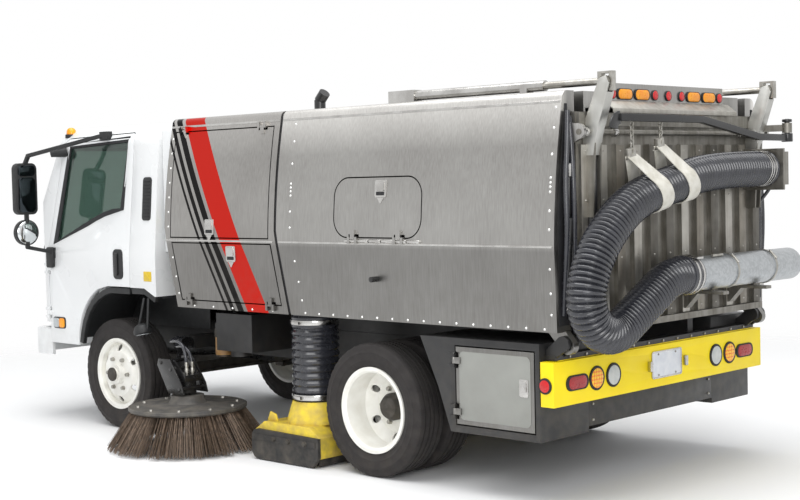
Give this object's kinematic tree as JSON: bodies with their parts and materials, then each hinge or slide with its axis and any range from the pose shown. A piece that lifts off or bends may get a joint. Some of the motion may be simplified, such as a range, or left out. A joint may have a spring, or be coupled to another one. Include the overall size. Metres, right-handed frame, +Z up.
{
  "type": "street sweeper truck",
  "caption": "Street sweeper truck with a low cab, a tilting litter hopper, side brooms, a suction pickup head, a rear door and a swinging suction hose.",
  "frame": {"origin": "on the ground, under the middle of the truck's bounding box", "axes": "+X towards the front of the truck, +Y to its left, +Z up"},
  "size_m": [5.615, 3.3236, 2.4016],
  "materials": {
    "white_paint": "gloss",
    "stainless": "brushed",
    "black_paint": "satin",
    "yellow_paint": "gloss",
    "grey_metal": "rough",
    "tyre": "matte",
    "rubber": "matte",
    "glass": "gloss",
    "lens": "gloss",
    "trim": "matte",
    "galvanised": "satin",
    "bristle": "matte"
  },
  "bodies": {
    "chassis": {"frame": "black_paint", "axles_and_springs": "black_paint", "engine_and_gearbox": "grey_metal", "side_tanks": "black_paint", "front_bumper": "white_paint", "rear_bumper": "yellow_paint", "rear_lamps": "lens", "toolboxes_and_skirt": "black_paint", "enclosure_shell": "stainless", "hopper_seal": "rubber", "front_shroud": "white_paint", "power_unit": "grey_metal", "pickup_head": "yellow_paint", "head_skids": "rubber", "head_hoses": "rubber"},
    "cab": {"cab_shell": "white_paint", "cab_glass": "glass", "cab_interior": "trim", "cab_lamps": "lens"},
    "hopper": {"hopper_shell": "stainless", "light_bar_lamps": "lens", "door_cylinders": "black_paint"},
    "rear_door": {"rear_door": "stainless"},
    "door_rods": {"door_rods": "galvanised"},
    "hose_boom": {"hose_boom": "black_paint", "wander_hose": "rubber", "nozzle_tube": "galvanised"},
    "cab_door_left": {"cab_door_left": "white_paint", "door_glass_left": "glass", "mirror_left": "black_paint"},
    "knuckle_left": {"knuckle_left": "black_paint"},
    "front_wheel_left": {"front_tyre_left": "tyre", "front_wheel_left": "white_paint"},
    "rear_wheels_left": {"rear_tyres_left": "tyre", "rear_wheels_left": "white_paint"},
    "enclosure_upper_door_left": {"enclosure_upper_door_left": "stainless"},
    "enclosure_lower_door_left": {"enclosure_lower_door_left": "stainless"},
    "inspection_door_left": {"inspection_door_left": "stainless"},
    "toolbox_door_left": {"toolbox_door_left": "stainless"},
    "broom_arm_left": {"broom_arm_left": "black_paint"},
    "broom_left": {"broom_left": "bristle"},
    "cab_door_right": {"cab_door_right": "white_paint", "door_glass_right": "glass", "mirror_right": "black_paint"},
    "knuckle_right": {"knuckle_right": "black_paint"},
    "front_wheel_right": {"front_tyre_right": "tyre", "front_wheel_right": "white_paint"},
    "rear_wheels_right": {"rear_tyres_right": "tyre", "rear_wheels_right": "white_paint"},
    "enclosure_upper_door_right": {"enclosure_upper_door_right": "stainless"},
    "enclosure_lower_door_right": {"enclosure_lower_door_right": "stainless"},
    "inspection_door_right": {"inspection_door_right": "stainless"},
    "toolbox_door_right": {"toolbox_door_right": "stainless"},
    "broom_arm_right": {"broom_arm_right": "black_paint"},
    "broom_right": {"broom_right": "bristle"}
  },
  "joints": [
    {"name": "cab_tilt", "type": "hinge", "parent": "chassis", "child": "cab", "pos_m": [2.6425, 0, 0.79], "axis": [0, 1, 0], "range_deg": [0, 45]},
    {"name": "hopper_tilt", "type": "hinge", "parent": "chassis", "child": "hopper", "pos_m": [-2.4775, 0, 0.88], "axis": [0, -1, 0], "range_deg": [0, 50]},
    {"name": "rear_door_swing", "type": "hinge", "parent": "hopper", "child": "rear_door", "pos_m": [-2.5565, 0, 2.015], "axis": [0, 1, 0], "range_deg": [0, 50]},
    {"name": "door_rod_stroke", "type": "slide", "parent": "hopper", "child": "door_rods", "axis": [1, 0, 0], "range_m": [0, 0.23938]},
    {"name": "hose_boom_swing", "type": "hinge", "parent": "rear_door", "child": "hose_boom", "pos_m": [-2.7475, -0.9, 2.04], "axis": [0, 0, 1], "range_deg": [0, 90]},
    {"name": "cab_door_left", "type": "hinge", "parent": "cab", "child": "cab_door_left", "pos_m": [2.4845, 1.0095, 1], "axis": [0, 0, -1], "range_deg": [0, 70]},
    {"name": "steer_left", "type": "hinge", "parent": "chassis", "child": "knuckle_left", "pos_m": [1.7125, 0.69, 0.405], "axis": [0, 0, 1], "range_deg": [-35, 35]},
    {"name": "front_wheel_left_spin", "type": "hinge", "parent": "knuckle_left", "child": "front_wheel_left", "pos_m": [1.7125, 0.8325, 0.405], "axis": [0, 1, 0], "continuous": true},
    {"name": "rear_wheels_left_spin", "type": "hinge", "parent": "chassis", "child": "rear_wheels_left", "pos_m": [-1.0565, 0.825, 0.405], "axis": [0, 1, 0], "continuous": true},
    {"name": "enclosure_upper_door_left", "type": "hinge", "parent": "chassis", "child": "enclosure_upper_door_left", "pos_m": [0.3125, 1.00346, 2.15], "axis": [1, 0, 0], "range_deg": [0, 100]},
    {"name": "enclosure_lower_door_left", "type": "hinge", "parent": "chassis", "child": "enclosure_lower_door_left", "pos_m": [0.3125, 1.07402, 1], "axis": [-1, 0, 0], "range_deg": [0, 90]},
    {"name": "inspection_door_left", "type": "hinge", "parent": "hopper", "child": "inspection_door_left", "pos_m": [-1.1445, 1.08545, 1.44], "axis": [-1, 0, 0], "range_deg": [0, 120]},
    {"name": "toolbox_door_left", "type": "hinge", "parent": "chassis", "child": "toolbox_door_left", "pos_m": [-1.7475, 1.0835, 0.6], "axis": [0, 0, -1], "range_deg": [0, 110]},
    {"name": "broom_lift_left", "type": "hinge", "parent": "chassis", "child": "broom_arm_left", "pos_m": [1.19193, 0.72, 0.64], "axis": [0, 1, 0], "range_deg": [0, 22]},
    {"name": "broom_spin_left", "type": "hinge", "parent": "broom_arm_left", "child": "broom_left", "pos_m": [0.67136, 1.102, 0.3], "axis": [0, 0, 1], "continuous": true},
    {"name": "cab_door_right", "type": "hinge", "parent": "cab", "child": "cab_door_right", "pos_m": [2.4845, -1.0095, 1], "axis": [0, 0, 1], "range_deg": [0, 70]},
    {"name": "steer_right", "type": "hinge", "parent": "chassis", "child": "knuckle_right", "pos_m": [1.7125, -0.69, 0.405], "axis": [0, 0, 1], "range_deg": [-35, 35]},
    {"name": "front_wheel_right_spin", "type": "hinge", "parent": "knuckle_right", "child": "front_wheel_right", "pos_m": [1.7125, -0.8325, 0.405], "axis": [0, 1, 0], "continuous": true},
    {"name": "rear_wheels_right_spin", "type": "hinge", "parent": "chassis", "child": "rear_wheels_right", "pos_m": [-1.0565, -0.825, 0.405], "axis": [0, 1, 0], "continuous": true},
    {"name": "enclosure_upper_door_right", "type": "hinge", "parent": "chassis", "child": "enclosure_upper_door_right", "pos_m": [0.3125, -1.00346, 2.15], "axis": [-1, 0, 0], "range_deg": [0, 100]},
    {"name": "enclosure_lower_door_right", "type": "hinge", "parent": "chassis", "child": "enclosure_lower_door_right", "pos_m": [0.3125, -1.07402, 1], "axis": [1, 0, 0], "range_deg": [0, 90]},
    {"name": "inspection_door_right", "type": "hinge", "parent": "hopper", "child": "inspection_door_right", "pos_m": [-1.1445, -1.08545, 1.44], "axis": [1, 0, 0], "range_deg": [0, 120]},
    {"name": "toolbox_door_right", "type": "hinge", "parent": "chassis", "child": "toolbox_door_right", "pos_m": [-1.7475, -1.0835, 0.6], "axis": [0, 0, 1], "range_deg": [0, 110]},
    {"name": "broom_lift_right", "type": "hinge", "parent": "chassis", "child": "broom_arm_right", "pos_m": [1.19193, -0.72, 0.64], "axis": [0, 1, 0], "range_deg": [0, 22]},
    {"name": "broom_spin_right", "type": "hinge", "parent": "broom_arm_right", "child": "broom_right", "pos_m": [0.67136, -1.102, 0.3], "axis": [0, 0, 1], "continuous": true}
  ],
  "couplings": [
    {"joint": "steer_right", "follows": "steer_left", "ratio": 1},
    {"joint": "door_rod_stroke", "follows": "rear_door_swing", "m_per_rad": 0.27397}
  ]
}
